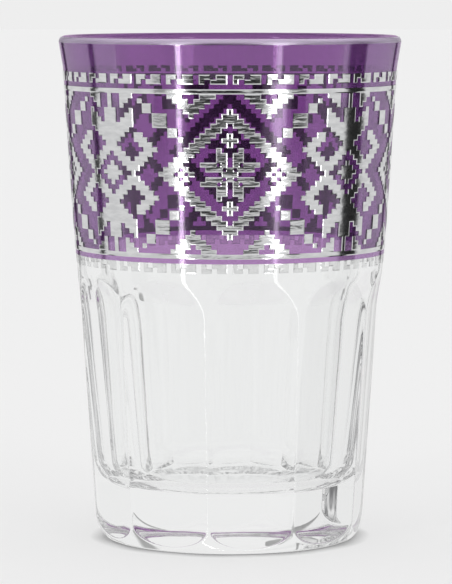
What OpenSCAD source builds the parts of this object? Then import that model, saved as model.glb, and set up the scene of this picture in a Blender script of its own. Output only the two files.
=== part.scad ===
// Moroccan tea glass: a pressed, fluted clear tumbler with a violet coat round its upper part
// and a mirror-silver cross-stitch pattern printed over the coat.
// Millimetres, +Z up, the origin at the middle of the ring that it stands on.
// The front, where a large diamond faces the viewer, is towards -Y.

/* [Glass body] */
// Height of the glass, table to lip
height = 89; // [75:0.5:100]
// Outside radius of the lip
lip_radius = 30.1; // [26:0.1:34]
// Thickness of the glass at the lip
lip_wall = 2.2; // [1.6:0.1:3]
// Height from the top of the lip down to where the straight wall starts to flare
flare_depth = 5.6; // [4:0.1:9]
// How far the lip stands outside the straight wall where the flare starts
lip_flare = 0.72; // [0.2:0.02:1.5]
// Thickness of the glass, measured level, where the flare starts
wall_thickness = 2.24; // [1.6:0.02:3.4]
// Outside radius of the wall just above the foot
foot_radius = 24.2; // [21:0.1:28]
// Height of the rounded foot
foot_height = 5; // [3:0.1:8]
// Radius of the rounding that draws the foot in
foot_rounding = 7.5; // [5.5:0.1:12]
// Thickness of the base at the middle of the cavity floor, above the table
base_thickness = 10; // [7:0.1:14]
// Thickness of the glass beside the cavity floor, measured to the foot's outside
lower_wall = 4.7; // [3:0.1:7]
// Radius of the round corner between the cavity floor and the wall
floor_fillet = 5; // [2:0.1:6]
// Width of the flat ring round the hollow, which the glass stands on
rest_ring = 2.8; // [1.5:0.1:5]
// Depth of the shallow hollow under the base
hollow_depth = 0.8; // [0.3:0.1:2]

/* [Flutes] */
// Number of arch-topped flutes round the lower wall
flute_count = 10; // [8:1:12]
// Turn of the flute that is nearest the front, in degrees
flute_turn = 9; // [-18:1:18]
// Height from the coat's lower edge down to where a flute starts to curve out into its arch
arch_gap = 10.9; // [8:0.1:16]
// Radius of the curve that carries a flute out to its arch top
arch_scoop = 21; // [16:1:30]
// Slight bite of that curve into the glass where it leaves the flat, in degrees
scoop_bite = 1.5; // [1:0.5:4]
// How far the ridges stand outside the plain wall at the arches, which leaves a narrow land
ridge_stand = 0.06; // [0.04:0.01:0.4]
// How far the ridges lie inside the plain wall where they run out on the foot
foot_ridge_drop = 0.06; // [0.03:0.01:0.3]

/* [Violet coat] */
// Thickness of the violet coat
coat_thickness = 0.1; // [0.05:0.01:0.2]
// Height of the bare glass on top of the lip, above the coat's edge
coat_lip_gap = 0.2; // [0.15:0.05:1]

/* [Silver print] */
// Thickness of the silver print
print_thickness = 0.08; // [0.05:0.01:0.2]
// Height of one stitch of the pattern
stitch_height = 0.825; // [0.7:0.005:1]
// Height of the plain coat between the top of the pattern and the start of the flare
pattern_gap = 0.55; // [0.2:0.05:3]
// Number of times that the pattern repeats round the glass
repeats = 4; // [4:1:4]
// Number of stitches across one repeat
repeat_stitches = 48; // [48:1:48]
// Diameter of the round violet dots left open in the silver
dot_diameter = 0.72; // [0.4:0.02:0.78]
// Clearance between the coat's lower edge and the meander printed below it
edge_clearance = 0.02; // [0.01:0.01:0.1]
// How far neighbouring stair squares lap over one another at their corners
square_lap = 0.04; // [0.02:0.01:0.1]

/* [Hidden] */
$fn = 96;

// Overrun that every cut and every pattern stamp shares
overrun = 1;

// Where the flare starts, on the outside and on the inside
flare_height = height - flare_depth;
flare_radius = lip_radius - lip_flare;
flare_inner_radius = flare_radius - wall_thickness;

// Slope of the straight wall, outwards for each millimetre up
wall_slope = (flare_radius - foot_radius) / (flare_height - foot_height);
function wall_radius(z) = foot_radius + wall_slope * (z - foot_height);

// The bead that rounds the lip
bead_radius = lip_wall / 2;
bead_centre_radius = lip_radius - bead_radius;
bead_centre_height = height - bead_radius;

// Direction of the flare, found from the tangent to the bead
flare_dr = bead_centre_radius - flare_radius;
flare_dz = bead_centre_height - flare_height;
flare_reach = sqrt(flare_dr * flare_dr + flare_dz * flare_dz);
flare_lean = atan2(flare_dr, flare_dz) + asin(bead_radius / flare_reach);
function bead_outer() = [bead_centre_radius + bead_radius * cos(flare_lean),
                         bead_centre_height - bead_radius * sin(flare_lean)];

// The cavity: a flat floor, a round corner, a straight leaning wall, then the flare's inside
floor_radius = foot_radius - lower_wall - floor_fillet;
fillet_centre = [floor_radius, base_thickness + floor_fillet];
cavity_dr = flare_inner_radius - fillet_centre[0];
cavity_dz = flare_height - fillet_centre[1];
cavity_reach = sqrt(cavity_dr * cavity_dr + cavity_dz * cavity_dz);
cavity_lean = atan2(cavity_dr, cavity_dz) - asin(floor_fillet / cavity_reach);
inner_dr = bead_centre_radius - flare_inner_radius;
inner_reach = sqrt(inner_dr * inner_dr + flare_dz * flare_dz);
inner_lean = atan2(inner_dr, flare_dz) - asin(bead_radius / inner_reach);
function fillet_outer() = [fillet_centre[0] + floor_fillet * cos(cavity_lean),
                           fillet_centre[1] - floor_fillet * sin(cavity_lean)];
function bead_inner() = [bead_centre_radius - bead_radius * cos(inner_lean),
                         bead_centre_height + bead_radius * sin(inner_lean)];

// The foot: a rounding whose circle touches the wall at the foot's height
foot_lean = atan(wall_slope);
foot_centre = [foot_radius - foot_rounding * cos(foot_lean),
               foot_height + foot_rounding * sin(foot_lean)];
contact_radius = foot_centre[0] + sqrt(foot_rounding * foot_rounding
                                       - foot_centre[1] * foot_centre[1]);
hollow_radius = contact_radius - rest_ring;
hollow_sphere = (hollow_radius * hollow_radius + hollow_depth * hollow_depth) / (2 * hollow_depth);

// The pattern hangs under the flare, the coat ends in it and the arches stay under the coat
pattern_top_share = 20.5;
pattern_height = flare_height - pattern_gap - pattern_top_share * stitch_height;
coat_edge_share = 18.5;
coat_low = pattern_height - coat_edge_share * stitch_height;
arch_start = coat_low - arch_gap;

// The flutes: the flat leans out from the foot, then the scoop carries it to the arch top
half_flute = 180 / flute_count;
flat_low = (foot_radius - foot_ridge_drop) * cos(half_flute);
flat_high = (wall_radius(arch_start) + ridge_stand) * cos(half_flute);
flat_lean = atan2(flat_high - flat_low, arch_start - foot_height);
scoop_lean = flat_lean - scoop_bite;
scoop_centre = [flat_high + arch_scoop * cos(scoop_lean),
                arch_start - arch_scoop * sin(scoop_lean)];

// The violet coat
coat_high = height - coat_lip_gap;
function on_bead(radius) = [bead_centre_radius + radius * cos(flare_lean),
                            bead_centre_height - radius * sin(flare_lean)];

// One stitch, and the corner of a stitch on the wall as the stamp sees it from outside
stitch_turn = 360 / (repeats * repeat_stitches);
repeat_turn = 360 / repeats;
function row_height(row) = pattern_height + row * stitch_height;
function corner(column, row) = [wall_radius(row_height(row)) * sin(column * stitch_turn),
                                row_height(row)];

// Charts of the pattern, drawn like a stitch chart: [row, first stitch, last stitch],
// counted from the middle of the figure; each chart is mirrored where its module says so.
hooked_cross_shares = [
    [0, 5, 5], [1, 4, 6], [2, 3, 7], [3, 2, 4], [3, 6, 8], [4, 1, 3], [4, 7, 9],
    [5, 0, 2], [5, 8, 10], [6, 0, 1], [6, 7, 9], [7, 0, 2], [7, 6, 8], [8, 0, 3], [8, 6, 7],
    [9, 0, 4], [10, 0, 5], [11, 0, 1], [11, 3, 5], [12, 0, 1], [12, 4, 5], [13, 0, 1], [13, 5, 5],
    [14, 0, 0], [14, 3, 3], [15, 0, 0], [15, 3, 4], [16, 0, 0], [16, 3, 5]];
half_diamond_shares = [[12, 0, 0], [13, 0, 1], [14, 0, 2], [15, 1, 3], [16, 2, 4]];
star_shares = [[0, 0, 1], [1, 0, 4], [2, 1, 5], [3, 1, 2], [4, 1, 2], [5, 2, 2]];
plus_shares = [[6, 0, 0], [7, 0, 1], [8, 0, 0]];
// Stair squares: [first column, lowest row, stitches across]
stair_shares = [[7, 15, 1], [8, 13, 2], [10, 10, 3], [13, 8, 2], [15, 7, 1]];
border_row_share = 17;
half_diamond_share = 7;
meander_stitch_share = 6;
meander_row_share = 19;
diamond_outer_share = 13;
diamond_hole_share = 10;
knot_place_share = 9;
knot_size_share = 2;
notch_share = 0.92;

// A run of stitches from edge column a to edge column b, between edge rows c and d
module patch(a, b, c, d) {
    polygon([corner(a, c), corner(b, c), corner(b, d), corner(a, d)]);
}

// The runs of a chart, mirrored left to right; side gives the half, 1 up or -1 down
module chart_half(shares, side) {
    for (run = shares) {
        low = side * run[0] - 0.5;
        if (run[1] == 0) {
            patch(-run[2] - 0.5, run[2] + 0.5, low, low + 1);
        } else {
            patch(run[1] - 0.5, run[2] + 0.5, low, low + 1);
            patch(-run[2] - 0.5, 0.5 - run[1], low, low + 1);
        }
    }
}

module chart(shares) {
    chart_half(shares, 1);
    chart_half([for (run = shares) if (run[0] > 0) run], -1);
}

// A solid stepped diamond of a given size, as one outline of steps
module stepped_diamond(size, middle = 0) {
    right = [for (row = [-size : size], end = [0, 1])
        corner(middle + size - abs(row) + 0.5, row - 0.5 + end)];
    left = [for (row = [size : -1 : -size], end = [1, 0])
        corner(middle - size + abs(row) - 0.5, row - 0.5 + end)];
    polygon(concat(right, left));
}

// A round dot at a stitch
module dot(column, row) {
    translate(corner(column, row)) circle(d = dot_diameter);
}

// Pushes a flat figure from inside the glass out through the wall, at a turn round the glass
module stamp(turn) {
    reach = wall_radius(flare_height);
    rotate([0, 0, turn]) rotate([90, 0, 0]) translate([0, 0, reach / 2])
        linear_extrude(height = reach) children();
}

// The thin skin that carries the print, from height a to height b over a ground
module skin(a, b, ground) {
    rotate_extrude() polygon([
        [wall_radius(a) + ground, a], [wall_radius(a) + ground + print_thickness, a],
        [wall_radius(b) + ground + print_thickness, b], [wall_radius(b) + ground, b]]);
}

frieze_low = row_height(-border_row_share - 0.5);
frieze_high = row_height(border_row_share + 0.5);
frieze_repeats = [0 : repeats - 1];

module glass_shell() {
    rotate_extrude() difference() {
        union() {
            polygon([[0, 0], [contact_radius, 0],
                     [foot_centre[0] + foot_rounding * cos(foot_lean), foot_centre[1]
                      - foot_rounding * sin(foot_lean)],
                     [flare_radius, flare_height], bead_outer(),
                     [bead_centre_radius, bead_centre_height], bead_inner(),
                     [flare_inner_radius, flare_height], fillet_outer(),
                     fillet_centre, [floor_radius, base_thickness], [0, base_thickness]]);
            intersection() {
                translate(foot_centre) circle(r = foot_rounding);
                translate([foot_centre[0], 0]) square([foot_rounding + overrun, foot_centre[1]]);
            }
            translate([bead_centre_radius, bead_centre_height]) circle(r = bead_radius);
        }
        translate(fillet_centre) circle(r = floor_fillet);
        translate([0, hollow_depth - hollow_sphere]) intersection() {
            circle(r = hollow_sphere);
            square([hollow_sphere, hollow_sphere]);
        }
    }
}

module flute_cut() {
    rotate([90, 0, 90]) translate([0, 0, -foot_radius / 2]) linear_extrude(height = foot_radius) {
        polygon([[flat_low - (foot_height + overrun) * tan(flat_lean), -overrun],
                 [flat_high, arch_start], scoop_centre, [scoop_centre[0], -overrun]]);
        translate(scoop_centre) circle(r = arch_scoop, $fn = 360);
    }
}

module glass_tumbler() {
    color([0.86, 0.9, 0.92, 0.45]) difference() {
        glass_shell();
        for (i = [0 : flute_count - 1])
            rotate([0, 0, flute_turn + i * 2 * half_flute - 180]) flute_cut();
    }
}

module purple_coat() {
    color([0.42, 0.2, 0.55, 0.8]) rotate_extrude() {
        polygon([[wall_radius(coat_low), coat_low],
                 [wall_radius(coat_low) + coat_thickness, coat_low],
                 [flare_radius + coat_thickness, flare_height],
                 on_bead(bead_radius + coat_thickness), bead_outer(),
                 [flare_radius, flare_height]]);
        intersection() {
            translate([bead_centre_radius, bead_centre_height]) difference() {
                circle(r = bead_radius + coat_thickness);
                circle(r = bead_radius);
            }
            polygon([[bead_centre_radius, bead_centre_height], on_bead(lip_wall),
                     [bead_centre_radius + lip_wall, coat_high], [bead_centre_radius, coat_high]]);
        }
    }
}

module border_lines() {
    color([0.8, 0.81, 0.83]) {
        skin(frieze_low, frieze_low + stitch_height, coat_thickness);
        skin(frieze_high - stitch_height, frieze_high, coat_thickness);
    }
}

// The band between the two border lines, which the figures fill
module between_borders() {
    skin(frieze_low + stitch_height, frieze_high - stitch_height, coat_thickness);
}

module border_half_diamonds() {
    color([0.8, 0.81, 0.83]) intersection() {
        between_borders();
        for (i = frieze_repeats, side = [-1, 1])
            stamp(i * repeat_turn + side * half_diamond_share * stitch_turn)
                chart(half_diamond_shares);
    }
}

module hooked_crosses() {
    color([0.8, 0.81, 0.83]) intersection() {
        between_borders();
        for (i = frieze_repeats) stamp((i + 0.5) * repeat_turn) chart(hooked_cross_shares);
    }
}

module cross_centre_diamonds() {
    color([0.8, 0.81, 0.83]) intersection() {
        skin(row_height(-3), row_height(3), coat_thickness);
        for (i = frieze_repeats) stamp((i + 0.5) * repeat_turn) stepped_diamond(2);
    }
}

module large_diamonds() {
    color([0.8, 0.81, 0.83]) intersection() {
        skin(row_height(-diamond_outer_share - 1), row_height(diamond_outer_share + 1),
             coat_thickness);
        for (i = frieze_repeats) stamp(i * repeat_turn) difference() {
            union() {
                difference() {
                    stepped_diamond(diamond_outer_share);
                    stepped_diamond(diamond_hole_share);
                }
                for (side = [-1, 1]) stepped_diamond(knot_size_share, side * knot_place_share);
            }
            for (side = [-1, 1], spot = [[-1, 0], [1, 0], [0, -1], [0, 1]])
                dot(side * knot_place_share + spot[0], spot[1]);
        }
    }
}

module eight_point_stars() {
    color([0.8, 0.81, 0.83]) intersection() {
        skin(row_height(-6), row_height(6), coat_thickness);
        for (i = frieze_repeats) stamp(i * repeat_turn) difference() {
            chart(star_shares);
            for (across = [-1, 1], up = [-1, 1], step = [1, 2]) dot(across * step, up * step);
        }
    }
}

module little_plus_signs() {
    color([0.8, 0.81, 0.83]) intersection() {
        skin(row_height(-9), row_height(9), coat_thickness);
        for (i = frieze_repeats) stamp(i * repeat_turn) chart(plus_shares);
    }
}

// One stair square, grown a little so that neighbours lap at their corners
module stair_square(first, low, across, side, up) {
    lap = square_lap / stitch_height;
    a = side * (first - 0.5) - side * lap;
    b = side * (first + across - 0.5) + side * lap;
    c = up * (low - 0.5) - up * lap;
    d = up * (low + across - 0.5) + up * lap;
    patch(min(a, b), max(a, b), min(c, d), max(c, d));
}

module stair_square_chains() {
    color([0.8, 0.81, 0.83]) intersection() {
        skin(frieze_low, frieze_high, coat_thickness);
        for (i = frieze_repeats) stamp((i + 0.5) * repeat_turn)
            for (square = stair_shares, side = [-1, 1], up = [-1, 1])
                stair_square(square[0], square[1], square[2], side, up);
    }
}

// One meander block: five stitches wide and two high, with a notch above and one below
module meander_block(up) {
    half = meander_stitch_share / 2;
    difference() {
        patch(-half + 0.5, half - 0.5, up * (meander_row_share - 0.5),
              up * (meander_row_share + 1.5));
        patch(-0.5, -0.5 + notch_share, up * (meander_row_share + 1.5 - notch_share),
              up * (meander_row_share + 2));
        patch(-1.5 + (1 - notch_share), -0.5, up * (meander_row_share - 1),
              up * (meander_row_share - 0.5 + notch_share));
    }
}

meander_blocks = repeats * repeat_stitches / meander_stitch_share;

module upper_meander_row() {
    color([0.8, 0.81, 0.83]) intersection() {
        skin(row_height(meander_row_share - 0.5), row_height(meander_row_share + 1.5),
             coat_thickness);
        for (i = [0 : meander_blocks - 1])
            stamp((i + 0.5) * meander_stitch_share * stitch_turn) meander_block(1);
    }
}

module lower_meander_row() {
    color([0.8, 0.81, 0.83]) intersection() {
        skin(row_height(-meander_row_share - 1.5),
             row_height(0.5 - meander_row_share) - edge_clearance, 0);
        for (i = [0 : meander_blocks - 1])
            stamp((i + 0.5) * meander_stitch_share * stitch_turn) meander_block(-1);
    }
}

glass_tumbler();
purple_coat();
border_lines();
border_half_diamonds();
hooked_crosses();
cross_centre_diamonds();
large_diamonds();
eight_point_stars();
little_plus_signs();
stair_square_chains();
upper_meander_row();
lower_meander_row();
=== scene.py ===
"""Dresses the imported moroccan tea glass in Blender.

The glass is one pressed piece of clear glass. A violet lustre coat covers the upper wall, and a
silver cross-stitch pattern is printed over the coat. Every piece is built in metres in the frame
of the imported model, and the pattern is drawn like a stitch chart: 192 stitches round the glass.
"""

import logging
import math
from collections.abc import Iterator, Mapping
from dataclasses import dataclass, field
from enum import Enum, IntEnum

import bmesh
import bpy
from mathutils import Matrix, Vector


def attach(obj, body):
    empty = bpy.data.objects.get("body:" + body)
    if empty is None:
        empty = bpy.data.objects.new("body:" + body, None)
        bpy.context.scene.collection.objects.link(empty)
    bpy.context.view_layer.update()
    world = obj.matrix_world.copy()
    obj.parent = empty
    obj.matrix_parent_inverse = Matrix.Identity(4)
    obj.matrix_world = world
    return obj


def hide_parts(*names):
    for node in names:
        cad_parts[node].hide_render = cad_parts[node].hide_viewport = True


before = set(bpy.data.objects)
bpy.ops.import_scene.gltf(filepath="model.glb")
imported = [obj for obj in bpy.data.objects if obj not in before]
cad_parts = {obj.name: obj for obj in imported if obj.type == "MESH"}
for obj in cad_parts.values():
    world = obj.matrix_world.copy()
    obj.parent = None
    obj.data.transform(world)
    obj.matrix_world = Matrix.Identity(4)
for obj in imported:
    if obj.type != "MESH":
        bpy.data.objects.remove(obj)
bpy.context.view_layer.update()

MM = 0.001
LOG = logging.getLogger("tea_glass")

Run = tuple[int, int, int]
Cell = tuple[int, int]
Rows = tuple[float, float, int]
Point = tuple[float, float]
Colour = tuple[float, float, float, float]
Inks = tuple[bpy.types.Material, ...]

# Layout of the pattern: its middle and a stitch's height in millimetres, and counts of stitches
PATTERN_MIDDLE = 65.9375
STITCH_HEIGHT = 0.825
STITCHES = 192
REPEAT = 48
LINE_ROW = 17
MEANDER_PITCH = 6
MEANDER_BLOCK = ((19, (-2, 0, 1, 2)), (20, (-2, -1, 1, 2)))
# Figures' distance from the middle of a large diamond, and diamonds' reach, in stitches
HALF_DIAMOND_ASIDE = 7
KNOT_ASIDE = 9
KNOT_REACH = 2
CENTRE_REACH = 2
FRAME_REACH = 13
FRAME_OPENING_REACH = 10
# Distances in metres within which points of a mesh are merged
TURNED_MERGE = 0.001 * MM
STITCH_MERGE = 0.002 * MM

# Charts of the pattern: row, first and last stitch of each run, counted from a figure's middle
HOOKED_CROSS: list[Run] = [
    (0, 5, 5), (1, 4, 6), (2, 3, 7), (3, 2, 4), (3, 6, 8), (4, 1, 3), (4, 7, 9),
    (5, 0, 2), (5, 8, 10), (6, 0, 1), (6, 7, 9), (7, 0, 2), (7, 6, 8), (8, 0, 3),
    (8, 6, 7), (9, 0, 4), (10, 0, 5), (11, 0, 1), (11, 3, 5), (12, 0, 1), (12, 4, 5),
    (13, 0, 1), (13, 5, 5), (14, 0, 0), (14, 3, 3), (15, 0, 0), (15, 3, 4),
    (16, 0, 0), (16, 3, 5),
]
HALF_DIAMOND: list[Run] = [(12, 0, 0), (13, 0, 1), (14, 0, 2), (15, 1, 3), (16, 2, 4)]
STAR: list[Run] = [(0, 0, 1), (1, 0, 4), (2, 1, 5), (3, 1, 2), (4, 1, 2), (5, 2, 2)]
STAR_DOTS: list[Cell] = [(1, 1), (2, 2)]
PLUS_SIGN: list[Run] = [(6, 0, 0), (7, 0, 1), (8, 0, 0)]
# Stair squares: first column, lowest row and stitches across
STAIR_SQUARES: list[Run] = [(7, 15, 1), (8, 13, 2), (10, 10, 3), (13, 8, 2), (15, 7, 1)]


class Slot(Enum):
    """The record's material slots."""

    GLASS = "clear_glass"
    COAT = "violet_coat"
    SILVER = "silver_print"


class Side(IntEnum):
    """Sides of a print figure, in the order of their finishes."""

    FACE = 0
    BACK = 1
    EDGE = 2


class Wire:
    """A shader value on which Python's operators add Math nodes."""

    def __init__(self, paint: "Paint", socket: bpy.types.NodeSocket) -> None:
        """Wraps a socket of a node tree."""
        self.paint = paint
        self.socket = socket

    def __add__(self, other: "Wire | float") -> "Wire":
        """Adds."""
        return self.paint.math("ADD", self, other)

    def __sub__(self, other: "Wire | float") -> "Wire":
        """Takes away."""
        return self.paint.math("SUBTRACT", self, other)

    def __rsub__(self, other: float) -> "Wire":
        """Takes this value from a number."""
        return self.paint.math("SUBTRACT", other, self)

    def __mul__(self, other: "Wire | float") -> "Wire":
        """Multiplies."""
        return self.paint.math("MULTIPLY", self, other)

    def __truediv__(self, other: "Wire | float") -> "Wire":
        """Divides."""
        return self.paint.math("DIVIDE", self, other)

    def __gt__(self, other: "Wire | float") -> "Wire":
        """Gives 1 where this value is the larger."""
        return self.paint.math("GREATER_THAN", self, other)

    def __abs__(self) -> "Wire":
        """Drops the sign."""
        return self.paint.math("ABSOLUTE", self)

    __radd__ = __add__
    __rmul__ = __mul__


class Paint:
    """A node tree under construction."""

    def __init__(self, tree: bpy.types.NodeTree) -> None:
        """Empties the tree.

        Args:
            tree: the node tree of a material or of the world.
        """
        self.tree = tree
        tree.nodes.clear()

    def node(
        self,
        kind: str,
        settings: Mapping[str, object] | None = None,
        values: Mapping[str | int, object] | None = None,
    ) -> bpy.types.Node:
        """Adds a node.

        Args:
            kind: Blender's name of the node's type.
            settings: properties of the node, set first.
            values: what goes into each input, a number, a colour, a socket or a Wire.

        Returns:
            The new node.
        """
        made = self.tree.nodes.new(kind)
        for name, value in (settings or {}).items():
            setattr(made, name, value)
        for key, value in (values or {}).items():
            self.join(value, made.inputs[key])
        return made

    def join(self, value: object, socket: bpy.types.NodeSocket) -> None:
        """Links a wire or socket to an input, or sets a plain value on it."""
        if isinstance(value, Wire):
            value = value.socket
        if isinstance(value, bpy.types.NodeSocket):
            self.tree.links.new(value, socket)
        else:
            socket.default_value = value

    def wire(self, made: bpy.types.Node, output: str | int = 0) -> Wire:
        """Wraps an output of a node."""
        return Wire(self, made.outputs[output])

    def math(self, operation: str, *terms: "Wire | float", clamp: bool = False) -> Wire:
        """Adds a Math node on the given terms."""
        settings = {"operation": operation, "use_clamp": clamp}
        return self.wire(self.node("ShaderNodeMath", settings, dict(enumerate(terms))))

    def place(self, kind: str = "Object") -> tuple[Wire, Wire, Wire]:
        """Gives the three coordinates of the shaded point, or of a direction in the world."""
        spot = self.node("ShaderNodeTexCoord").outputs[kind]
        parts = self.node("ShaderNodeSeparateXYZ", values={0: spot})
        return self.wire(parts, 0), self.wire(parts, 1), self.wire(parts, 2)

    def vector(self, x: "Wire | float", y: "Wire | float", z: "Wire | float") -> Wire:
        """Makes a vector of three values."""
        return self.wire(self.node("ShaderNodeCombineXYZ", values={0: x, 1: y, 2: z}))

    def noise(self, spot: Wire, rate: float, detail: float = 2.0) -> Wire:
        """Gives soft noise between 0 and 1 on a vector, with so many waves to a unit."""
        values = {"Vector": spot, "Scale": rate, "Detail": detail}
        return self.wire(self.node("ShaderNodeTexNoise", values=values), 0)

    def ease(self, value: Wire, low: float, high: float) -> Wire:
        """Gives a smooth step from 0 at low to 1 at high."""
        settings = {"interpolation_type": "SMOOTHSTEP"}
        values = {0: value, 1: low, 2: high, 3: 0.0, 4: 1.0}
        return self.wire(self.node("ShaderNodeMapRange", settings, values))

    def band(self, value: Wire, low: float, high: float, soft: float) -> Wire:
        """Gives 1 between low and high and 0 outside, with soft edges of a given width."""
        rise = self.ease(value, low - soft / 2, low + soft / 2)
        return rise * (1.0 - self.ease(value, high - soft / 2, high + soft / 2))

    def blend(self, share: "Wire | float", first: object, second: object) -> Wire:
        """Mixes two colours by a share of the second."""
        settings = {"data_type": "RGBA"}
        made = self.node("ShaderNodeMix", settings, {0: share, 6: first, 7: second})
        return self.wire(made, 2)

    def mix(self, share: Wire, first: bpy.types.Node, second: bpy.types.Node) -> bpy.types.Node:
        """Mixes two shaders by a share of the second."""
        values = {0: share, 1: first.outputs[0], 2: second.outputs[0]}
        return self.node("ShaderNodeMixShader", values=values)

    def relief(self, height: Wire, depth: float) -> bpy.types.NodeSocket:
        """Gives the normals of a relief, whose depth is that of a height of 1."""
        values = {"Strength": 1.0, "Distance": depth, "Height": height}
        return self.node("ShaderNodeBump", values=values).outputs[0]

    def thin_out(
        self, shader: bpy.types.Node, openness: float, cloud: Wire, spread: float = 0.2
    ) -> bpy.types.Node:
        """Lets what lies behind a thin ink show through it.

        Args:
            shader: the ink's own shader.
            openness: share of what lies behind that shows, or 0 for a full ink.
            cloud: soft noise that varies the openness.
            spread: how much the openness varies.

        Returns:
            The mixed shader, or the ink's own where it is full.
        """
        if openness <= 0.0:
            return shader
        clear = self.node("ShaderNodeBsdfTransparent", values={0: (1.0, 1.0, 1.0, 1.0)})
        share = self.math("ADD", openness - spread / 2, cloud * spread, clamp=True)
        return self.mix(share, shader, clear)

    def end(self, shader: bpy.types.Node) -> None:
        """Puts a shader on the material's surface."""
        self.node("ShaderNodeOutputMaterial", values={0: shader.outputs[0]})


def new_material(name: str) -> tuple[bpy.types.Material, Paint]:
    """Makes an empty node material and the paint for its tree."""
    material = bpy.data.materials.new(name)
    material.use_nodes = True
    return material, Paint(material.node_tree)


@dataclass(frozen=True)
class ClearGlass:
    """Clear pressed glass, stained where the coat lies on it, with a painted grey glow at the last
    bounce.

    Attributes:
        bend: index of refraction.
        gloss: level of the mirror reflection.
        thick, thin: the ends of the glass's faint clouds of colour.
        cloud_rate, wave_rate, streak_rate: waves of the noises to a metre.
        wave_depth: depth of the slow waves that a mould leaves, in metres.
        upright_share: how much the waves change with height.
        dull_from: levels of the clouds between which the surface turns a little dull.
        dull_roughness: roughness of the dullest places.
        stained: colour of the glass under the coat.
        coat_low, lip_low: heights from which the wall and the whole lip are coated.
        middle_of_wall, wall_slope: radius of the wall's middle at no height, and its lean.
        deepest: the bounce at which a path ends in painted light, a streaked grey glow.
    """

    bend: float = 1.5
    gloss: float = 0.35
    thick: Colour = (0.985, 0.992, 0.988, 1.0)
    thin: Colour = (0.993, 0.996, 0.996, 1.0)
    cloud_rate: float = 60.0
    wave_rate: float = 160.0
    wave_depth: float = 0.05 * MM
    upright_share: float = 0.45
    dull_from: Point = (0.55, 0.9)
    dull_roughness: float = 0.012
    stained: Colour = (0.69, 0.51, 0.735, 1.0)
    coat_low: float = 50.675 * MM
    lip_low: float = 87.9 * MM
    middle_of_wall: float = 22.87 * MM
    wall_slope: float = 0.06607
    deepest: int = 6
    # Ends of the painted grey glow that stands in for light at the deepest bounce
    painted_glow_dark: Colour = (0.2, 0.2, 0.205, 1.0)
    painted_glow_pale: Colour = (0.8, 0.8, 0.8, 1.0)
    streak_rate: float = 420.0
    streak_upright_share: float = 0.2
    streak_tones: Point = (0.35, 0.65)

    def make(self) -> bpy.types.Material:
        """Builds the material."""
        material, paint = new_material("clear_pressed_glass")
        x, y, z = paint.place()
        spot = paint.vector(x, y, z * self.upright_share)
        normal = paint.relief(paint.noise(spot, self.wave_rate, detail=1.0), self.wave_depth)
        cloud = paint.noise(spot, self.cloud_rate)
        clear = paint.node(
            "ShaderNodeBsdfPrincipled",
            values={
                "Base Color": paint.blend(cloud, self.thick, self.thin),
                "Roughness": paint.ease(cloud, *self.dull_from) * self.dull_roughness,
                "IOR": self.bend,
                "Specular IOR Level": self.gloss,
                "Transmission Weight": 1.0,
                "Normal": normal,
            },
        )
        reach = paint.math("SQRT", x * x + y * y) - z * self.wall_slope
        coated = (reach > self.middle_of_wall) * (z > self.coat_low)
        coated = paint.math("MAXIMUM", coated, z > self.lip_low)
        violet = paint.node(
            "ShaderNodeBsdfGlass", values={0: self.stained, "IOR": self.bend, "Normal": normal}
        )
        # Painted light: from the deepest bounce on, a path ends in a streaked grey glow
        path = paint.node("ShaderNodeLightPath")
        caught = paint.wire(path, "Ray Depth") > self.deepest - 0.5
        spot = paint.vector(x, y, z * self.streak_upright_share)
        streak = paint.ease(paint.noise(spot, self.streak_rate), *self.streak_tones)
        grey = paint.blend(streak, self.painted_glow_dark, self.painted_glow_pale)
        painted_glow = paint.node("ShaderNodeEmission", values={0: grey, 1: 1.0})
        paint.end(paint.mix(caught, paint.mix(coated, clear, violet), painted_glow))
        return material


@dataclass(frozen=True)
class VioletCoat:
    """A thin violet lustre that tints what is seen through it and mirrors a little.

    Attributes:
        tint: what one face of the film lets through.
        sheen: colour of its mirror reflection.
        mirror, rim_share, cloud_share: shares of the reflection that are even, that grow
            towards the rim of the glass, and that vary with the film's clouds.
        rim_bend: index of refraction that sets how fast the rim's share grows.
        lip_sheen, lip_roughness: more reflection, and a softer one, on the lip.
        lip_edge: heights in metres between which the lip begins.
        cloud_rate, ripple_rate: waves of the noises to a metre.
        ripple_depth, ripple_upright_share: depth of the film's ripple in metres, and how
            much it changes with height.
    """

    tint: Colour = (0.83, 0.714, 0.857, 1.0)
    sheen: Colour = (0.9, 0.86, 0.95, 1.0)
    mirror: float = 0.025
    rim_share: float = 0.5
    rim_bend: float = 1.45
    cloud_rate: float = 220.0
    cloud_share: float = 0.014
    ripple_rate: float = 700.0
    ripple_depth: float = 0.004 * MM
    ripple_upright_share: float = 0.3
    roughness: float = 0.05
    cloud_roughness: float = 0.06
    lip_edge: Point = (87.75 * MM, 87.95 * MM)
    lip_sheen: float = 0.3
    lip_roughness: float = 0.25

    def make(self) -> bpy.types.Material:
        """Builds the material."""
        material, paint = new_material("violet_lustre_coat")
        x, y, z = paint.place()
        cloud = paint.noise(paint.vector(x, y, z), self.cloud_rate, detail=3.0)
        ripple = paint.noise(
            paint.vector(x, y, z * self.ripple_upright_share), self.ripple_rate
        )
        film = paint.node("ShaderNodeBsdfTransparent", values={0: self.tint})
        lip = paint.ease(z, *self.lip_edge)
        dullness = self.roughness + cloud * self.cloud_roughness + lip * self.lip_roughness
        gloss = paint.node(
            "ShaderNodeBsdfPrincipled",
            values={
                "Base Color": self.sheen,
                "Metallic": 1.0,
                "Roughness": dullness,
                "Normal": paint.relief(ripple, self.ripple_depth),
            },
        )
        rim = paint.wire(paint.node("ShaderNodeFresnel", values={"IOR": self.rim_bend}))
        share = rim * self.rim_share + cloud * self.cloud_share + self.mirror
        share = paint.math("MINIMUM", share + lip * self.lip_sheen, 1.0)
        paint.end(paint.mix(share, film, gloss))
        return material


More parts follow.
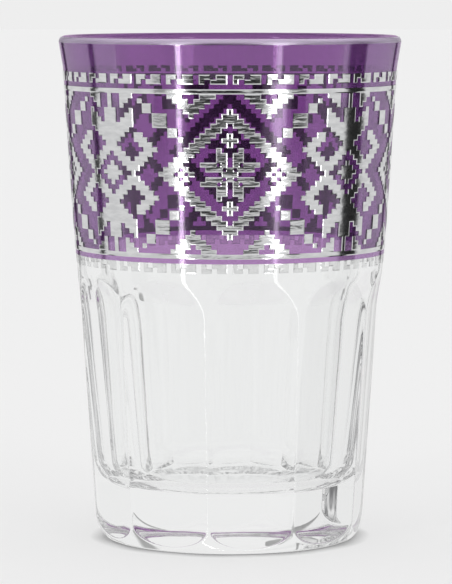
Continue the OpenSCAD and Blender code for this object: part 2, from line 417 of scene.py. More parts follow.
@dataclass(frozen=True)
class SilverInk:
    """Mirror-silver ink, wiped on in level strokes that leave fine streaks.

    Attributes:
        name: the material's name.
        bright, dull: the ends of the strokes' tones.
        print_radius: radius in millimetres at which the strokes' length is measured.
        streak_height, streak_length: height and length of a stroke in millimetres.
        streak_tones: levels of the strokes between which the tone changes.
        streak_depth, wave_depth, grain_depth, stitch_depth: depths of the relief in
            millimetres: of the strokes, of slow waves, of fine grain and of the stitch rows.
        wave_rate, grain_rate: waves of the noises to a metre.
        openness: share of what lies behind that shows through a thin ink.
    """

    name: str = "silver_print_ink"
    bright: Colour = (0.86, 0.865, 0.87, 1.0)
    dull: Colour = (0.74, 0.745, 0.755, 1.0)
    print_radius: float = 28.0
    streak_height: float = 0.8
    streak_length: float = 3.0
    streak_tones: Point = (0.3, 0.7)
    streak_depth: float = 0.024
    wave_rate: float = 480.0
    wave_depth: float = 0.012
    grain_rate: float = 2600.0
    grain_depth: float = 0.0015
    stitch_depth: float = 0.002
    roughness: float = 0.07
    grain_roughness: float = 0.07
    openness: float = 0.0

    def stitch(self, paint: Paint, place: Wire) -> Wire:
        """Gives the cushion shape of one row of stitches, 1 in its middle."""
        across = paint.math("FRACT", place + 0.5) * 2.0 - 1.0
        square = across * across
        return 1.0 - square * square

    def make(self) -> bpy.types.Material:
        """Builds the material."""
        material, paint = new_material(self.name)
        x, y, z = paint.place()
        spot = paint.vector(x, y, z)
        turn = paint.math("ARCTAN2", x, y * -1.0)
        along = turn * (self.print_radius / self.streak_length)
        upward = z * (1.0 / (self.streak_height * MM))
        strokes = paint.noise(paint.vector(along, upward, 0.0), 1.0)
        grain = paint.noise(spot, self.grain_rate)
        rows = self.stitch(paint, (z - PATTERN_MIDDLE * MM) * (1.0 / (STITCH_HEIGHT * MM)))
        height = strokes * self.streak_depth + grain * self.grain_depth + rows * self.stitch_depth
        height = height + paint.noise(spot, self.wave_rate) * self.wave_depth
        tone = paint.ease(strokes, *self.streak_tones)
        metal = paint.node(
            "ShaderNodeBsdfPrincipled",
            values={
                "Base Color": paint.blend(tone, self.dull, self.bright),
                "Metallic": 1.0,
                "Roughness": self.roughness + grain * self.grain_roughness,
                "Normal": paint.relief(height, MM),
            },
        )
        paint.end(paint.thin_out(metal, self.openness, strokes))
        return material


@dataclass(frozen=True)
class InkUnderside:
    """The side of the ink that lies on the glass: dull, dark and a little mottled."""

    name: str = "silver_ink_underside"
    dark: Colour = (0.006, 0.0055, 0.0065, 1.0)
    pale: Colour = (0.018, 0.017, 0.019, 1.0)
    cloud_rate: float = 900.0
    roughness: float = 0.3
    cloud_roughness: float = 0.15
    openness: float = 0.0

    def make(self) -> bpy.types.Material:
        """Builds the material."""
        material, paint = new_material(self.name)
        x, y, z = paint.place()
        cloud = paint.noise(paint.vector(x, y, z), self.cloud_rate, detail=3.0)
        back = paint.node(
            "ShaderNodeBsdfPrincipled",
            values={
                "Base Color": paint.blend(cloud, self.dark, self.pale),
                "Metallic": 1.0,
                "Roughness": self.roughness + cloud * self.cloud_roughness,
            },
        )
        paint.end(paint.thin_out(back, self.openness, cloud))
        return material


@dataclass(frozen=True)
class FloorPaint:
    """The pale matt surface that the glass stands on.

    Attributes:
        level: paleness of the matt part, which takes the object's shadow.
        level_spread: how far its clouds vary it either way.
        glow: level of the floor's own light, which keeps its shadow faint.
        shadow_share: share of the matt part where the camera sees the floor.
        glass_share: share of the own light where the floor is seen through the glass.
        contact_shadow_reach: distance in metres within which a painted shadow darkens the floor.
        contact_shadow_share: how much the painted contact shadow darkens there.
    """

    level: float = 0.9
    level_spread: float = 0.004
    cloud_rate: float = 3.0
    glow: float = 0.855
    shadow_share: float = 0.3
    glass_share: float = 0.92
    contact_shadow_reach: float = 2.5 * MM
    contact_shadow_share: float = 0.75

    def make(self) -> bpy.types.Material:
        """Builds the material."""
        material, paint = new_material("pale_floor")
        x, y, z = paint.place()
        cloud = paint.noise(paint.vector(x, y, z), self.cloud_rate)
        low, high = self.level - self.level_spread, self.level + self.level_spread
        colour = paint.blend(cloud, (low, low, low, 1.0), (high, high, high, 1.0))
        matt = paint.node("ShaderNodeBsdfDiffuse", values={0: colour})
        path = paint.node("ShaderNodeLightPath")
        by_camera = paint.wire(path, "Is Camera Ray")
        # Painted contact shadow: ambient occlusion near the glass darkens the floor's own light
        gap = paint.node(
            "ShaderNodeAmbientOcclusion", {"samples": 8}, {"Distance": self.contact_shadow_reach}
        )
        closed = (1.0 - paint.wire(gap, "AO")) * by_camera
        glow = self.glow * (1.0 - closed * self.contact_shadow_share)
        own = paint.node("ShaderNodeEmission", values={0: paint.vector(glow, glow, glow), 1: 1.0})
        by_glass = paint.wire(path, "Is Transmission Ray") * self.glass_share
        share = paint.math("MAXIMUM", by_camera * (1.0 - self.shadow_share), by_glass)
        paint.end(paint.mix(share, matt, own))
        return material


def arc(middle: Point, radius: float, first: float, last: float, steps: int) -> list[Point]:
    """Points along an arc, both ends included.

    Args:
        middle: the arc's middle, its distance from the axis and its height.
        radius: the arc's radius.
        first: angle of the first point, in radians upwards from level outwards.
        last: angle of the last point.
        steps: stretches between the points.

    Returns:
        The points, each a distance from the axis and a height.
    """
    points = []
    for step in range(steps + 1):
        angle = first + (last - first) * step / steps
        points.append(
            (middle[0] + radius * math.cos(angle), middle[1] + radius * math.sin(angle))
        )
    return points


def straight(start: Point, end: Point, steps: int) -> list[Point]:
    """Points along a straight line, both ends included."""
    shares = [step / steps for step in range(steps + 1)]
    return [
        (start[0] + (end[0] - start[0]) * share, start[1] + (end[1] - start[1]) * share)
        for share in shares
    ]


@dataclass
class Wall:
    """The glass's outside, which every piece of the object is fitted to, in millimetres."""

    height: float = 89.0
    lip_radius: float = 30.1
    lip_wall: float = 2.2
    flare_depth: float = 5.6
    lip_flare: float = 0.72
    wall_thickness: float = 2.24
    foot_radius: float = 24.2
    foot_height: float = 5.0
    foot_rounding: float = 7.5
    base_thickness: float = 10.0
    lower_wall: float = 4.7
    floor_fillet: float = 5.0
    rest_ring: float = 2.8
    hollow_depth: float = 0.8
    flute_count: int = 10
    flute_turn: float = 9.0
    arch_start: float = 39.775
    arch_scoop: float = 21.0
    scoop_bite: float = 1.5
    ridge_stand: float = 0.06
    foot_ridge_drop: float = 0.06
    ridge_softness: float = 0.035
    arch_softness: float = 0.12
    no_flute: float = 99.0
    # Points of the rest ring: how far inside the foot's contact circle, and how high
    ring_points: tuple[Point, ...] = ((1.6, 0.0), (0.5, 0.0), (0.28, 0.02), (0.1, 0.09))
    hollow_steps: int = 16
    foot_steps: int = 18
    flare_steps: int = 4
    bead_steps: int = 20
    inner_flare_steps: int = 5
    inner_wall_steps: int = 18
    fillet_steps: int = 14
    floor_steps: int = 9
    # Mesh rows of the wall: height below the first, spacing and count; they close up at the arches
    mesh_rows: tuple[Rows, ...] = ((5.0, 1.0, 32), (37.0, 0.3, 41), (47.5, 2.5, 13))
    last_rows: Point = (81.5, 82.6)

    @property
    def flare_height(self) -> float:
        """Height at which the straight wall starts to flare towards the lip."""
        return self.height - self.flare_depth

    @property
    def flare_radius(self) -> float:
        """Outside radius of the wall where the flare starts."""
        return self.lip_radius - self.lip_flare

    @property
    def floor_radius(self) -> float:
        """Radius of the flat part of the cavity floor."""
        return self.foot_radius - self.lower_wall - self.floor_fillet

    @property
    def slope(self) -> float:
        """How far the wall leans out for each millimetre up."""
        return (self.flare_radius - self.foot_radius) / (self.flare_height - self.foot_height)

    @property
    def bead(self) -> tuple[float, float, float]:
        """Radius from the axis, height and own radius of the bead that rounds the lip."""
        own = self.lip_wall / 2
        return self.lip_radius - own, self.height - own, own

    def radius(self, z: float) -> float:
        """Outside radius of the straight wall at a height."""
        return self.foot_radius + self.slope * (z - self.foot_height)

    def flare_lean(self) -> float:
        """Lean of the flare that runs on into the bead, in radians."""
        out, up, own = self.bead
        run, rise = out - self.flare_radius, up - self.flare_height
        return math.atan2(run, rise) + math.asin(own / math.hypot(run, rise))

    def cavity(self) -> list[Point]:
        """Half section of the cavity, from the bead down to the middle of its floor."""
        out, up, own = self.bead
        corner = self.flare_radius - self.wall_thickness, self.flare_height
        run, rise = out - corner[0], up - corner[1]
        flare = math.atan2(run, rise) - math.asin(own / math.hypot(run, rise))
        floor, fillet = self.floor_radius, self.floor_fillet
        run, rise = corner[0] - floor, corner[1] - self.base_thickness - fillet
        lean = math.atan2(run, rise) - math.asin(fillet / math.hypot(run, rise))
        points = arc((out, up), own, -self.flare_lean(), math.pi - flare, self.bead_steps)[1:]
        points += straight(points[-1], corner, self.inner_flare_steps)[1:]
        middle = floor, self.base_thickness + fillet
        rounding = arc(middle, fillet, -lean, -math.pi / 2, self.fillet_steps)
        points += straight(corner, rounding[0], self.inner_wall_steps)[1:] + rounding[1:]
        edge, centre = (floor, self.base_thickness), (0.0, self.base_thickness)
        return points + straight(edge, centre, self.floor_steps)[1:]

    def flare_top(self) -> Point:
        """Point where the flare meets the bead."""
        out, up, own = self.bead
        lean = self.flare_lean()
        return out + own * math.cos(lean), up - own * math.sin(lean)

    def flute_radius(self, turn: float, z: float) -> float:
        """Radius of the nearest flutes' faces, softened where two of them meet.

        Args:
            turn: degrees counter-clockwise from the front, seen from above.
            z: height in millimetres.

        Returns:
            The distance from the axis, or a large number above the arches.
        """
        half = 180.0 / self.flute_count
        low = (self.foot_radius - self.foot_ridge_drop) * math.cos(math.radians(half))
        high = (self.radius(self.arch_start) + self.ridge_stand) * math.cos(math.radians(half))
        lean = math.atan2(high - low, self.arch_start - self.foot_height)
        if z <= self.arch_start:
            face = low + (z - self.foot_height) * math.tan(lean)
        else:
            scoop = lean - math.radians(self.scoop_bite)
            out = high + self.arch_scoop * math.cos(scoop)
            up = self.arch_start - self.arch_scoop * math.sin(scoop)
            left = self.arch_scoop**2 - (z - up) ** 2
            face = out - math.sqrt(left) if left > 0 else self.no_flute
        off = (turn - self.flute_turn + half) % (2 * half) - half
        near = face / math.cos(math.radians(off))
        beside = face / math.cos(math.radians(2 * half - abs(off)))
        return self.soft_least(near, beside, self.ridge_softness)

    def soft_least(self, first: float, second: float, softness: float) -> float:
        """The lesser of two values, rounded where they are nearly equal."""
        least, most = min(first, second), max(first, second)
        far_apart = 60.0
        gap = min((most - least) / softness, far_apart)
        return least - softness * math.log1p(math.exp(-gap))

    def outline(self) -> list[Point]:
        """Half section of the glass, from under the base round the lip to the cavity floor."""
        lean = math.atan(self.slope)
        middle = (
            self.foot_radius - self.foot_rounding * math.cos(lean),
            self.foot_height + self.foot_rounding * math.sin(lean),
        )
        contact = middle[0] + math.sqrt(self.foot_rounding**2 - middle[1] ** 2)
        hollow = contact - self.rest_ring
        ball = (hollow**2 + self.hollow_depth**2) / (2 * self.hollow_depth)
        count = self.hollow_steps
        reaches = [hollow * step / count for step in range(count + 1)]
        points = [(out, self.hollow_depth - ball + math.sqrt(ball**2 - out**2)) for out in reaches]
        points += [(contact - inside, up) for inside, up in self.ring_points]
        start = math.atan2(-middle[1], contact - middle[0])
        points += arc(middle, self.foot_rounding, start, -lean, self.foot_steps)[1:]
        for below, spacing, count in self.mesh_rows:
            heights = [below + spacing * step for step in range(1, count + 1)]
            points += [(self.radius(z), z) for z in heights]
        points += [(self.radius(z), z) for z in self.last_rows]
        low = self.flare_radius, self.flare_height
        points += straight(low, self.flare_top(), self.flare_steps)
        return points + self.cavity()


def spin_outline(points: list[Point], steps: int, closed: bool) -> bmesh.types.BMesh:
    """Turns a half section round the axis.

    Args:
        points: radius and height of each point in millimetres.
        steps: faces round the axis.
        closed: True if the section is a ring that doesn't touch the axis.

    Returns:
        The turned mesh in metres, with its doubles merged.
    """
    shape = bmesh.new()
    line = [shape.verts.new((0.0, -out * MM, up * MM)) for out, up in points]
    pairs = list(zip(line, line[1:])) + ([(line[-1], line[0])] if closed else [])
    edges = [shape.edges.new(pair) for pair in pairs]
    bmesh.ops.spin(
        shape,
        geom=line + edges,
        axis=(0.0, 0.0, 1.0),
        cent=(0.0, 0.0, 0.0),
        angle=2 * math.pi,
        steps=steps,
        use_merge=True,
        use_duplicate=False,
    )
    bmesh.ops.remove_doubles(shape, verts=shape.verts[:], dist=TURNED_MERGE)
    bmesh.ops.recalc_face_normals(shape, faces=shape.faces[:])
    return shape


def keep_piece(
    shape: bmesh.types.BMesh,
    name: str,
    node: str,
    slot: Slot,
    *materials: bpy.types.Material,
    crease: float = 32.0,
) -> bpy.types.Object:
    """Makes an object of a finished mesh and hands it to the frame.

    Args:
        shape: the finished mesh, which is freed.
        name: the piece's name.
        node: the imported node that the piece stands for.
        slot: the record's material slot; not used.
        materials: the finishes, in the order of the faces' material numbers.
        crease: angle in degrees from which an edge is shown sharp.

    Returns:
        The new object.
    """
    for face in shape.faces:
        face.smooth = True
    for edge in shape.edges:
        edge.smooth = not edge.is_manifold or edge.calc_face_angle(0.0) < math.radians(crease)
    mesh = bpy.data.meshes.new(name)
    shape.to_mesh(mesh)
    shape.free()
    for material in materials:
        mesh.materials.append(material)
    piece = bpy.data.objects.new(name, mesh)
    bpy.context.scene.collection.objects.link(piece)
    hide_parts(node)
    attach(piece, "root")
    LOG.info("%s: %d faces", name, len(mesh.polygons))
    return piece


@dataclass
class Tumbler:
    """The pressed glass itself: base, foot, flutes, wall and lip in one piece.

    Attributes:
        wall: the glass's outside.
        steps: mesh faces round the glass.
        gather: how far the mesh lines are drawn to the ridges, as a share of a full wave.
        flutes_end: height in millimetres above which there are no flutes.
        skin: depth in millimetres from the wall within which a point is on the outside.
        floor_slack: how far under the cavity's floor a point may still be on the cavity.
        soft_start, soft_depth: height at which the arches' edges begin to soften, and over
            how many millimetres.
    """

    wall: Wall
    steps: int = 360
    gather: float = 0.55
    flutes_end: float = 49.0
    skin: float = 0.9
    floor_slack: float = 0.5
    soft_start: float = 30.0
    soft_depth: float = 10.0
    on_axis: float = 0.01

    def build(self, material: bpy.types.Material) -> bpy.types.Object:
        """Builds and dresses the tumbler."""
        shape = spin_outline(self.wall.outline(), self.steps, closed=False)
        self._press_flutes(shape)
        return keep_piece(shape, "pressed_tumbler", "glass_tumbler", Slot.GLASS, material)

    def _press_flutes(self, shape: bmesh.types.BMesh) -> None:
        """Gathers the mesh lines towards the ridges and presses the flutes into the wall."""
        wall = self.wall
        for vert in shape.verts:
            out, z = math.hypot(vert.co.x, vert.co.y) / MM, vert.co.z / MM
            if out < self.on_axis:
                continue
            turn = math.degrees(math.atan2(vert.co.x, -vert.co.y))
            phase = math.radians((turn - wall.flute_turn) * wall.flute_count)
            turn += self.gather * math.degrees(math.sin(phase)) / wall.flute_count
            within = out < wall.radius(z) - self.skin
            on_cavity = within and z > wall.base_thickness - self.floor_slack
            if z < self.flutes_end and not on_cavity:
                out = wall.soft_least(out, wall.flute_radius(turn, z), self._softness(z))
            angle = math.radians(turn)
            vert.co = Vector((out * math.sin(angle), -out * math.cos(angle), z)) * MM

    def _softness(self, z: float) -> float:
        """Softness of the edge between the flutes and the turned outline at a height."""
        up = min(max((z - self.soft_start) / self.soft_depth, 0.0), 1.0)
        wall = self.wall
        return wall.ridge_softness + (wall.arch_softness - wall.ridge_softness) * up


@dataclass
class CoatSleeve:
    """The violet coat round the upper wall, in millimetres.

    Attributes:
        wall: the glass's outside.
        low: height of the coat's lower edge.
        lip_gap: how far under the top of the lip the coat ends.
        thickness: distance of the coat's outside from the glass.
        clearance: distance of its inside from the glass.
        rows, lip_rows: mesh rows up the wall and over the bead.
        steps: mesh faces round the sleeve.
    """

    wall: Wall
    low: float = 50.675
    lip_gap: float = 0.2
    thickness: float = 0.095
    clearance: float = 0.006
    rows: int = 14
    lip_rows: int = 12
    steps: int = 240

    def line(self, gap: float) -> list[Point]:
        """Half section of the sleeve at a distance from the glass, from its foot over the lip."""
        tall = self.wall.flare_height - self.low
        heights = [self.low + tall * row / self.rows for row in range(self.rows + 1)]
        points = [(self.wall.radius(z) + gap, z) for z in heights]
        out, up, own = self.wall.bead
        last = math.asin((self.wall.height - self.lip_gap - up) / (own + gap))
        return points + arc((out, up), own + gap, -self.wall.flare_lean(), last, self.lip_rows)

    def build(self, material: bpy.types.Material) -> bpy.types.Object:
        """Builds and dresses the coat."""
        ring = self.line(self.clearance) + self.line(self.thickness)[::-1]
        shape = spin_outline(ring, self.steps, closed=True)
        return keep_piece(shape, "violet_coat_sleeve", "purple_coat", Slot.COAT, material)


def wrapped(column: int) -> int:
    """Gives a stitch column between minus half and half of the way round the glass."""
    return (column + STITCHES // 2) % STITCHES - STITCHES // 2


@dataclass
class StitchChart:
    """One kind of figure of the pattern, drawn in stitches from its middle.

    Attributes:
        runs: row, first and last stitch of each run, mirrored left to right.
        places: the stitch column of each figure's middle.
        mirrored: True if the rows are repeated below the middle row.
        dots: stitches that are left open as round dots, mirrored as the runs are.
    """

    runs: list[Run]
    places: list[int]
    mirrored: bool = True
    dots: list[Cell] = field(default_factory=list)

    def cells(self) -> Iterator[Cell]:
        """Gives the column and row of every stitch."""
        for row, first, last in self.runs:
            for column in range(first, last + 1):
                yield from self._copies(column, row)

    def open_cells(self) -> Iterator[Cell]:
        """Gives the column and row of every stitch that holds a dot."""
        for column, row in self.dots:
            yield from self._copies(column, row)

    def _copies(self, column: int, row: int) -> Iterator[Cell]:
        """Gives a stitch and its mirror images at every place."""
        for place in self.places:
            for side in {column, -column}:
                for up in {row, -row} if self.mirrored else {row}:
                    yield wrapped(place + side), up


@dataclass
class PrintedPattern:
    """The silver print, one piece for each kind of figure, in millimetres.

    Attributes:
        wall: the glass's outside.
        coat: thickness of the coat under the print.
        thickness: thickness of the print.
        clearance: distance of the print's underside from what it lies on.
        soft_edge, edge_share: width of the sloped edge, and its share of the thickness.
        dot_diameter: diameter of the round openings.
        dot_margin: share of a stitch left round an opening before it is rounded.
        dot_cuts: cuts in each side of an opening, which make it round.
        rows: stitch rows of the flat chart above and below its middle.
        crease: angle in degrees from which an edge of the print is shown sharp.
    """

    wall: Wall
    coat: float = 0.1
    thickness: float = 0.08
    clearance: float = 0.004
    soft_edge: float = 0.17
    edge_share: float = 0.7
    dot_diameter: float = 0.72
    dot_margin: float = 0.08
    dot_cuts: int = 3
    rows: int = 22
    crease: float = 4.0

    def build_piece(
        self,
        name: str,
        node: str,
        inks: Inks,
        cells: set[Cell],
        dots: set[Cell] = frozenset(),
        on_coat: bool = True,
    ) -> bpy.types.Object:
        """Builds and dresses one kind of figure.

        Args:
            name: the piece's name.
            node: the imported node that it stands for.
            inks: the finishes of the ink's face and its underside, and of its soft edge
                where that has one of its own.
            cells: column and row of each stitch.
            dots: stitches that hold a round opening.
            on_coat: False if the print lies on bare glass.

        Returns:
            The new object.
        """
        shape = bmesh.new()
        tall = self.rows + 0.5
        bmesh.ops.create_grid(
            shape, x_segments=STITCHES, y_segments=2 * self.rows + 1, size=1.0
        )
        for vert in shape.verts:
            vert.co = Vector((vert.co.x * STITCHES / 2 - 0.5, vert.co.y * tall, 0.0))
        spare = [face for face in shape.faces if self._cell(face) not in cells]
        bmesh.ops.delete(shape, geom=spare, context="FACES")
        self._open_dots(shape, dots)
        self._wrap(shape, (self.coat if on_coat else 0.0) + self.clearance)
        self._part_corners(shape)
        self._raise(shape, Side.EDGE if len(inks) > Side.EDGE else Side.FACE)
        return keep_piece(shape, name, node, Slot.SILVER, *inks, crease=self.crease)

    def _cell(self, face: bmesh.types.BMFace) -> Cell:
        """The column and row of a face of the flat grid."""
        middle = face.calc_center_median()
        return round(middle.x), round(middle.y)

    def _open_dots(self, shape: bmesh.types.BMesh, dots: set[Cell]) -> None:
        """Opens a round hole in each stitch that is named."""
        faces = [face for face in shape.faces if self._cell(face) in dots]
        if not faces:
            return
        bmesh.ops.inset_individual(shape, faces=faces, thickness=self.dot_margin)
        rims = {edge for face in faces for edge in face.edges}
        bmesh.ops.subdivide_edges(shape, edges=list(rims), cuts=self.dot_cuts, use_grid_fill=False)
        wide = 2 * math.pi * self.wall.radius(PATTERN_MIDDLE) / STITCHES
        reach = self.dot_diameter / 2
        for face in faces:
            middle = Vector(self._cell(face))
            for vert in face.verts:
                arm = vert.co.xy - middle
                angle = math.atan2(arm.y, arm.x)
                vert.co.x = middle.x + reach / wide * math.cos(angle)
                vert.co.y = middle.y + reach / STITCH_HEIGHT * math.sin(angle)
        bmesh.ops.delete(shape, geom=faces, context="FACES_ONLY")

    def _wrap(self, shape: bmesh.types.BMesh, ground: float) -> None:
        """Bends the flat chart round the wall, at a distance from the glass."""
        for vert in shape.verts:
            z = PATTERN_MIDDLE + vert.co.y * STITCH_HEIGHT
            angle = 2 * math.pi * vert.co.x / STITCHES
            out = self.wall.radius(z) + ground
            vert.co = Vector((out * math.sin(angle), -out * math.cos(angle), z)) * MM
        bmesh.ops.remove_doubles(shape, verts=shape.verts[:], dist=STITCH_MERGE)

    def _part_corners(self, shape: bmesh.types.BMesh) -> None:
        """Parts stitches that touch at a corner only."""
        for vert in shape.verts[:]:
            faces = vert.link_faces
            if len(faces) == 2 and not set(faces[0].edges) & set(faces[1].edges):
                bmesh.utils.vert_separate(vert, vert.link_edges[:])

    def _raise(self, shape: bmesh.types.BMesh, edge: Side) -> None:
        """Gives the flat figures their thickness and a soft edge.

        Args:
            shape: the flat figures on the wall.
            edge: the side whose finish the soft edge takes.
        """
        rise = self.thickness - self.clearance
        drop = rise * self.edge_share
        for face in shape.faces:
            face.material_index = Side.BACK
        made = bmesh.ops.extrude_face_region(shape, geom=shape.faces[:], use_keep_orig=True)
        top = [item for item in made["geom"] if isinstance(item, bmesh.types.BMVert)]
        for vert in top:
            away = Vector((vert.co.x, vert.co.y, 0.0)).normalized()
            vert.co += away * (rise - drop) * MM
        faces = [item for item in made["geom"] if isinstance(item, bmesh.types.BMFace)]
        for face in faces + [face for vert in top for face in vert.link_faces]:
            face.material_index = Side.FACE
        ring = bmesh.ops.inset_region(
            shape,
            faces=faces,
            thickness=self.soft_edge * MM,
            depth=drop * MM,
            use_boundary=True,
            use_even_offset=True,
        )
        for face in ring["faces"]:
            face.material_index = edge
        bmesh.ops.recalc_face_normals(shape, faces=shape.faces[:])

    def build(self, inks: Inks, thin_inks: Inks) -> None:
        """Builds every figure of the print.

        Args:
            inks: the finishes of the print over the coat.
            thin_inks: the finishes of the row that is printed on bare glass.
        """
        fronts = list(range(-STITCHES // 2, STITCHES // 2, REPEAT))
        crosses = [place + REPEAT // 2 for place in fronts]
        columns = range(-STITCHES // 2, STITCHES // 2)
        lines = {(column, row) for column in columns for row in (-LINE_ROW, LINE_ROW)}
        self.build_piece("print_border_lines", "border_lines", inks, lines)
        hooked = StitchChart(HOOKED_CROSS, crosses)
        self.build_piece("print_hooked_crosses", "hooked_crosses", inks, set(hooked.cells()))
        halves = StitchChart(HALF_DIAMOND, self.beside(fronts, HALF_DIAMOND_ASIDE))
        self.build_piece(
            "print_half_diamonds", "border_half_diamonds", inks, set(halves.cells())
        )
        small = self.diamond(crosses, CENTRE_REACH)
        self.build_piece("print_cross_centres", "cross_centre_diamonds", inks, small)
        self._large_diamonds(fronts, inks)
        star = StitchChart(STAR, fronts, dots=STAR_DOTS)
        self.build_piece(
            "print_stars", "eight_point_stars", inks, set(star.cells()), set(star.open_cells())
        )
        plus = StitchChart(PLUS_SIGN, fronts)
        self.build_piece("print_plus_signs", "little_plus_signs", inks, set(plus.cells()))
        stairs = [
            (row, first, first + across - 1)
            for first, low, across in STAIR_SQUARES
            for row in range(low, low + across)
        ]
        chains = StitchChart(stairs, crosses)
        self.build_piece("print_stair_chains", "stair_square_chains", inks, set(chains.cells()))
        self._meander("upper", 1, inks)
        self._meander("lower", -1, thin_inks)

    def _large_diamonds(self, fronts: list[int], inks: Inks) -> None:
        """Builds the large diamond frames, with a knot of four round openings at each side."""
        knots = self.beside(fronts, KNOT_ASIDE)
        frames = self.diamond(fronts, FRAME_REACH) - self.diamond(fronts, FRAME_OPENING_REACH)
        frames |= self.diamond(knots, KNOT_REACH)
        next_to = ((1, 0), (-1, 0), (0, 1), (0, -1))
        holes = {(wrapped(knot + across), up) for knot in knots for across, up in next_to}
        self.build_piece("print_large_diamonds", "large_diamonds", inks, frames, holes)

    def _meander(self, name: str, side: int, inks: Inks) -> None:
        """Builds the row of meander blocks above the pattern, side 1, or below it, side -1."""
        first = (MEANDER_PITCH - STITCHES) // 2
        blocks = {
            (place + column, side * row)
            for place in range(first, STITCHES // 2, MEANDER_PITCH)
            for row, columns in MEANDER_BLOCK
            for column in columns
        }
        piece, node = f"print_{name}_meander", f"{name}_meander_row"
        self.build_piece(piece, node, inks, blocks, on_coat=side > 0)

    def beside(self, places: list[int], aside: int) -> list[int]:
        """The columns at a distance on both sides of the given ones."""
        return [place + side for place in places for side in (-aside, aside)]

    def diamond(self, places: list[int], reach: int) -> set[Cell]:
        """The stitches of stepped diamonds of a given reach at the given columns."""
        return {
            (wrapped(place + column), row)
            for place in places
            for row in range(-reach, reach + 1)
            for column in range(abs(row) - reach, reach - abs(row) + 1)
        }


@dataclass(frozen=True)
class Bar:
    """An upright bar of the surroundings, in degrees round from the front, and its strength."""

    start: float
    end: float
    soft: float
    strength: float = 1.0


@dataclass(frozen=True)
class LightTent:
    """The even light round the glass, with the dark and bright bars that the silver mirrors.

    Heights are those of a direction's upright part, from -1 straight down to 1 straight up.

    Attributes:
        background, level: level of the background that is seen, and of the tent.
        top_level, top_edge: level overhead, and the heights between which it begins.
        dark_level: level left where the tent is dark.
        opening, opening_foot, opening_head: the dark opening in front, and the heights
            between which it begins and ends.
        gaps: narrow dark bars at the sides and behind.
        sides, side_foot, side_head: dark bars at both sides of the opening.
        strip: the narrow bright strip to the left of the opening.
        lamp_turn, lamp_strength, lamp_edge: direction of the bright lamp to the right, its
            strength, and its soft edge as shares of its half width.
        lamp_low_width, lamp_widening, lamp_foot: its half width low down in degrees, how
            much wider it is higher up, and the heights between which it widens.
        opening_through, gaps_through: how much darker the opening and the gaps look
            through the glass.
    """

    background: float = 0.855
    level: float = 0.74
    top_level: float = 0.35
    top_edge: Point = (0.35, 0.7)
    dark_level: float = 0.02
    opening: Bar = Bar(-30.0, 23.0, 4.0)
    opening_foot: Point = (-0.213, -0.183)
    opening_head: Point = (0.27, 0.4)
    gaps: tuple[Bar, ...] = (
        Bar(89.0, 107.0, 3.0),
        Bar(-112.0, -106.0, 2.0),
        Bar(150.0, 156.0, 3.0),
        Bar(-160.0, -152.0, 3.0),
    )
    sides: tuple[Bar, ...] = (Bar(-54.0, -44.0, 2.0, 0.6), Bar(43.0, 54.0, 1.5))
    side_foot: Point = (-0.178, -0.162)
    side_head: Point = (0.35, 0.55)
    strip: Bar = Bar(-37.4, -34.0, 1.0, 9.0)
    lamp_turn: float = 34.0
    lamp_strength: float = 4.0
    lamp_edge: Point = (0.75, 1.15)
    lamp_low_width: float = 1.8
    lamp_widening: float = 4.0
    lamp_foot: Point = (-0.183, -0.165)
    opening_through: float = 0.2
    gaps_through: float = 0.6

    def make(self) -> bpy.types.World:
        """Builds the world."""
        world = bpy.data.worlds.new("light_tent")
        world.use_nodes = True
        paint = Paint(world.node_tree)
        x, y, z = paint.place("Generated")
        turn = paint.math("ARCTAN2", x, y * -1.0) * (180.0 / math.pi)
        low = 1.0 - paint.ease(z, *self.top_edge)
        raised = paint.ease(z, *self.opening_foot) * (1.0 - paint.ease(z, *self.opening_head))
        opening = self._bars(paint, turn, self.opening) * raised
        gaps = self._bars(paint, turn, *self.gaps)
        beside = paint.ease(z, *self.side_foot) * (1.0 - paint.ease(z, *self.side_head))
        sides = self._bars(paint, turn, *self.sides) * beside
        dark = paint.math("MINIMUM", opening + gaps + sides, 1.0) * low
        width = paint.ease(z, *self.lamp_foot) * self.lamp_widening + self.lamp_low_width
        aside = abs(turn - self.lamp_turn) / width
        lamp = (1.0 - paint.ease(aside, *self.lamp_edge)) * self.lamp_strength
        bright = (self._bars(paint, turn, self.strip) + lamp) * low
        overhead = self.top_level * (1.0 - low)
        tent = self.level * (1.0 - dark) + bright + overhead + dark * self.dark_level
        shade = opening * self.opening_through + gaps * low * self.gaps_through
        through = self.background * (1.0 - shade)
        path = paint.node("ShaderNodeLightPath")
        seen = paint.wire(path, "Is Camera Ray")
        passed = paint.wire(path, "Is Transmission Ray") * (1.0 - seen)
        level = tent * (1.0 - seen) * (1.0 - passed) + seen * self.background + passed * through
        grey = paint.node("ShaderNodeCombineColor", values={0: level, 1: level, 2: level})
        glow = paint.node("ShaderNodeBackground", values={0: grey.outputs[0], 1: 1.0})
        paint.node("ShaderNodeOutputWorld", values={0: glow.outputs[0]})
        return world

    def _bars(self, paint: Paint, turn: Wire, *bars: Bar) -> Wire:
        """Adds up bars of the surroundings."""
        first, *others = [
            paint.band(turn, bar.start, bar.end, bar.soft) * bar.strength for bar in bars
        ]
        return sum(others, first)


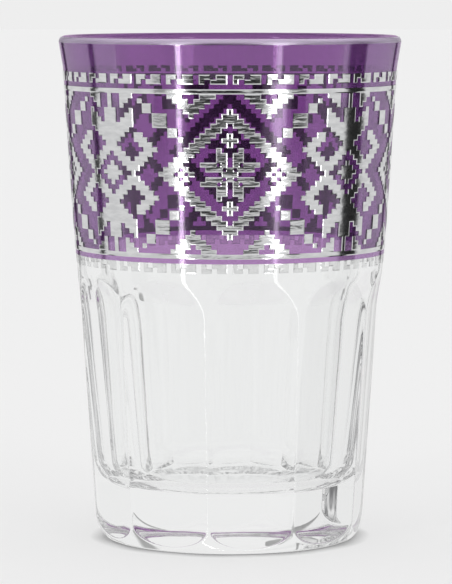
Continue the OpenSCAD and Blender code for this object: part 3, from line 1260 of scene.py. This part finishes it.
@dataclass
class Studio:
    """The pale floor, the light tent and the camera.

    Attributes:
        floor_radius, floor_sides, floor_drop: the floor's radius and number of sides, and
            how far it lies under the glass, in metres.
        camera_place: the camera's place in metres.
        tilt_down: how far the camera looks down, in degrees.
        focal_length, picture_height, shift: the lens's focal length, the picture's height
            and the picture's shift to the side, in pixels of the photograph.
        sensor: the camera's sensor in millimetres.
        sight: how far the camera sees, in metres.
    """

    floor_radius: float = 6.0
    floor_sides: int = 96
    floor_drop: float = 0.00002
    camera_place: tuple[float, float, float] = (0.0, -0.621, 0.0994)
    tilt_down: float = 5.141
    focal_length: float = 3512.0
    picture_height: float = 584.0
    shift: float = -4.0
    sensor: float = 36.0
    sight: float = 100.0

    def build(self) -> None:
        """Builds the whole set."""
        self._floor()
        bpy.context.scene.world = LightTent().make()
        self._camera()

    def _floor(self) -> None:
        """Lays the floor."""
        shape = bmesh.new()
        bmesh.ops.create_circle(
            shape, cap_ends=True, segments=self.floor_sides, radius=self.floor_radius
        )
        mesh = bpy.data.meshes.new("floor")
        shape.to_mesh(mesh)
        shape.free()
        mesh.materials.append(FloorPaint().make())
        floor = bpy.data.objects.new("floor", mesh)
        floor.location.z = -self.floor_drop
        bpy.context.scene.collection.objects.link(floor)
        floor.visible_glossy = False

    def _camera(self) -> None:
        """Sets the camera at the photograph's distance and angle."""
        lens = bpy.data.cameras.new("camera")
        lens.lens = self.focal_length / self.picture_height * self.sensor
        lens.sensor_width = self.sensor
        lens.shift_x = self.shift / self.picture_height
        lens.clip_end = self.sight
        camera = bpy.data.objects.new("camera", lens)
        camera.location = self.camera_place
        camera.rotation_euler = (math.radians(90.0 - self.tilt_down), 0.0, 0.0)
        bpy.context.scene.collection.objects.link(camera)
        bpy.context.scene.camera = camera


def main() -> None:
    """Builds the set and every piece of the glass."""
    logging.basicConfig(level=logging.INFO, format="%(message)s")
    bpy.context.scene.view_settings.view_transform = "Standard"
    Studio().build()
    wall = Wall()
    Tumbler(wall).build(ClearGlass().make())
    CoatSleeve(wall).build(VioletCoat().make())
    inks = SilverInk().make(), InkUnderside().make()
    thin_inks = (
        SilverInk("thin_silver_ink", openness=0.86).make(),
        InkUnderside("thin_ink_underside", openness=0.86).make(),
        SilverInk("thin_ink_edge", openness=0.5).make(),
    )
    PrintedPattern(wall).build(inks, thin_inks)


if __name__ == "__main__":
    main()
